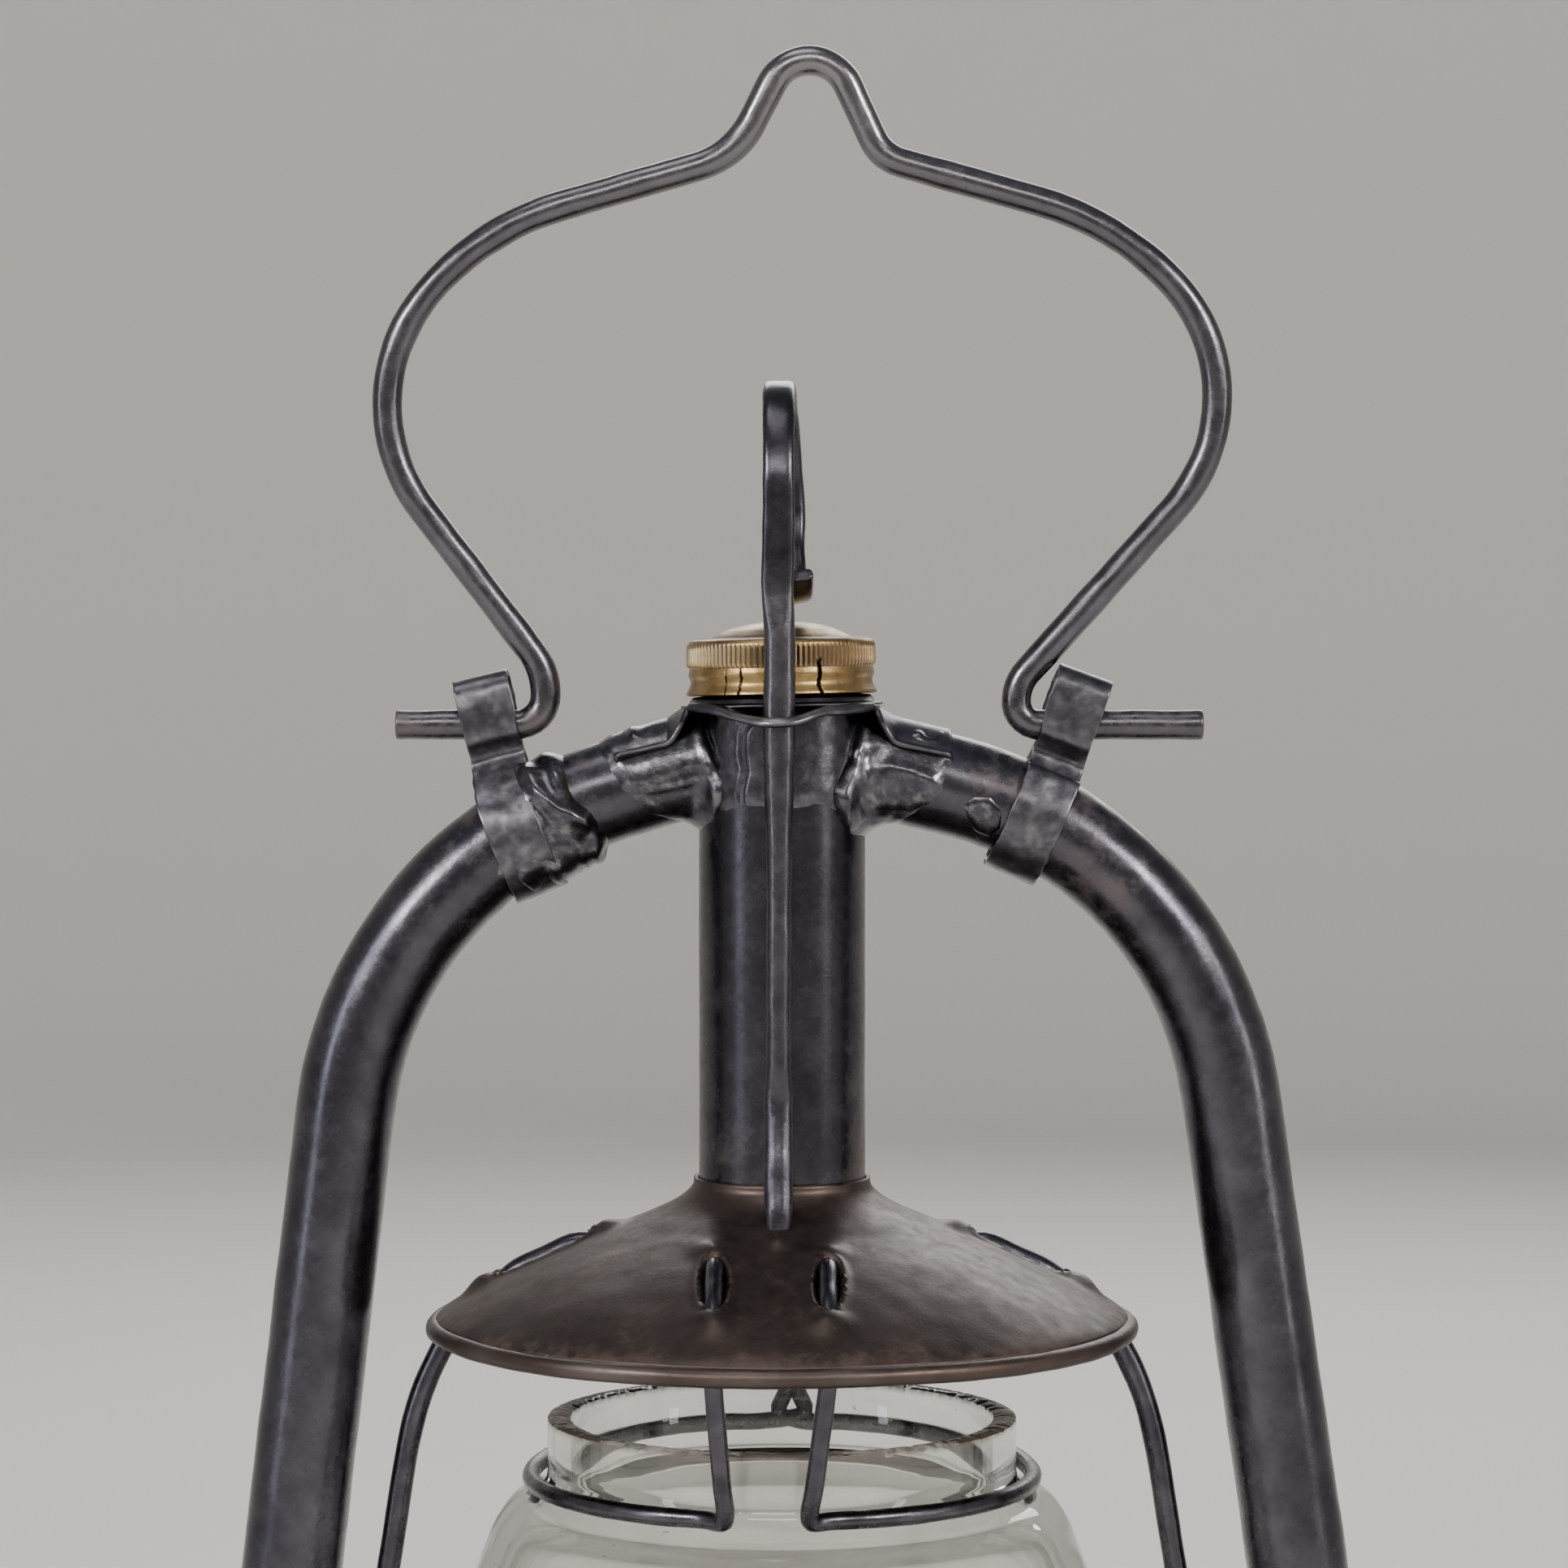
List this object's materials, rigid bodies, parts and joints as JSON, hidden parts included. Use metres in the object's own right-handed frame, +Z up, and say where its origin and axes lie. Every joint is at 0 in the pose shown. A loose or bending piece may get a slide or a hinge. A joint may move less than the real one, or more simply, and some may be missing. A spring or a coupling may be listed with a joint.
{
  "type": "miner's oil lamp",
  "caption": "Hand-made tubular oil lamp with a round tank, side tubes, glass globe in a wire cage, a hood lifted by a ringed rod, a screw cap and a swinging wire bail.",
  "frame": {"origin": "centre of the base plate's flat underside, on the axis of the tank and the centre tube", "axes": "+Z up along the axis of the lamp; +X to the right seen from the front; -Y is the front, where the lift rod and the wick knob are"},
  "size_m": [0.1859, 0.144, 0.414],
  "materials": {
    "waxed_steel": "bare mild steel, hand worked, darkened and waxed, with soft highlights and a brown haze of rust",
    "rusted_steel": "bare mild sheet steel, browner and duller from heat and rust",
    "brass": "old brass, dull gold brown, rubbed bright on its edges",
    "globe_glass": "clear pressed glass with a greyish haze and a rough broken rim",
    "leather": "oiled leather washer",
    "wick_cotton": "flat woven cotton, charred at the tip"
  },
  "bodies": {
    "frame": {"base_plate": "waxed_steel", "tank_shell": "waxed_steel", "filler_neck": "waxed_steel", "burner_collar": "brass", "air_chamber": "waxed_steel", "side_tube_left": "waxed_steel", "side_tube_right": "waxed_steel", "centre_tube": "waxed_steel", "joint_saddle_left": "waxed_steel", "joint_saddle_right": "waxed_steel", "guide_plate": "waxed_steel", "cap_neck": "waxed_steel", "ear_strap_left": "waxed_steel", "ear_strap_right": "waxed_steel", "burner_base": "brass", "wick_tube": "brass", "burner_cone": "brass", "shaft_bush": "brass"},
    "globe_lift": {"hood": "rusted_steel", "hood_rim": "rusted_steel", "lift_rod": "waxed_steel", "guard_wire_left": "waxed_steel", "guard_wire_right": "waxed_steel", "neck_wire_left": "waxed_steel", "neck_wire_right": "waxed_steel", "cage_hoop": "waxed_steel", "cage_base_ring": "waxed_steel", "globe_plate": "waxed_steel", "globe": "globe_glass"},
    "bail": {"bail": "waxed_steel"},
    "cap_washer": {"cap_washer": "leather"},
    "brass_cap": {"brass_cap": "brass"},
    "filler_washer": {"filler_washer": "leather"},
    "filler_cap": {"filler_cap": "brass"},
    "wick_drive": {"wick_shaft": "brass", "wick_knob": "brass", "spur_wheel_front": "brass", "spur_wheel_rear": "brass"},
    "wick": {"wick": "wick_cotton"}
  },
  "joints": [
    {"name": "globe_lift", "type": "slide", "parent": "frame", "child": "globe_lift", "axis": [0, 0, 1], "range_m": [0, 0.03]},
    {"name": "bail_swing", "type": "hinge", "parent": "frame", "child": "bail", "pos_m": [0, 0, 0.3123], "axis": [1, 0, 0], "range_deg": [-104, 104]},
    {"name": "cap_rise", "type": "slide", "parent": "frame", "child": "cap_washer", "axis": [-0.0209, 0, 0.9998], "range_m": [0, 0.00151]},
    {"name": "cap_turn", "type": "hinge", "parent": "cap_washer", "child": "brass_cap", "pos_m": [0, 0, 0.3146], "axis": [-0.0209, 0, 0.9998], "range_deg": [0, 360]},
    {"name": "filler_rise", "type": "slide", "parent": "frame", "child": "filler_washer", "axis": [0, 0, 1], "range_m": [0, 0.00401]},
    {"name": "filler_turn", "type": "hinge", "parent": "filler_washer", "child": "filler_cap", "pos_m": [0.036, -0.042, 0.055], "axis": [0, 0, 1], "range_deg": [0, 720]},
    {"name": "wick_turn", "type": "hinge", "parent": "frame", "child": "wick_drive", "pos_m": [-0.0046, -0.03, 0.063], "axis": [0, -1, 0], "range_deg": [-30, 60]},
    {"name": "wick_rise", "type": "slide", "parent": "frame", "child": "wick", "axis": [0, 0, 1], "range_m": [-0.002, 0.004]}
  ],
  "couplings": [
    {"joint": "cap_rise", "follows": "cap_turn", "m_per_rad": 0.00023873},
    {"joint": "filler_rise", "follows": "filler_turn", "m_per_rad": 0.00031831},
    {"joint": "wick_rise", "follows": "wick_turn", "m_per_rad": 0.0035}
  ]
}
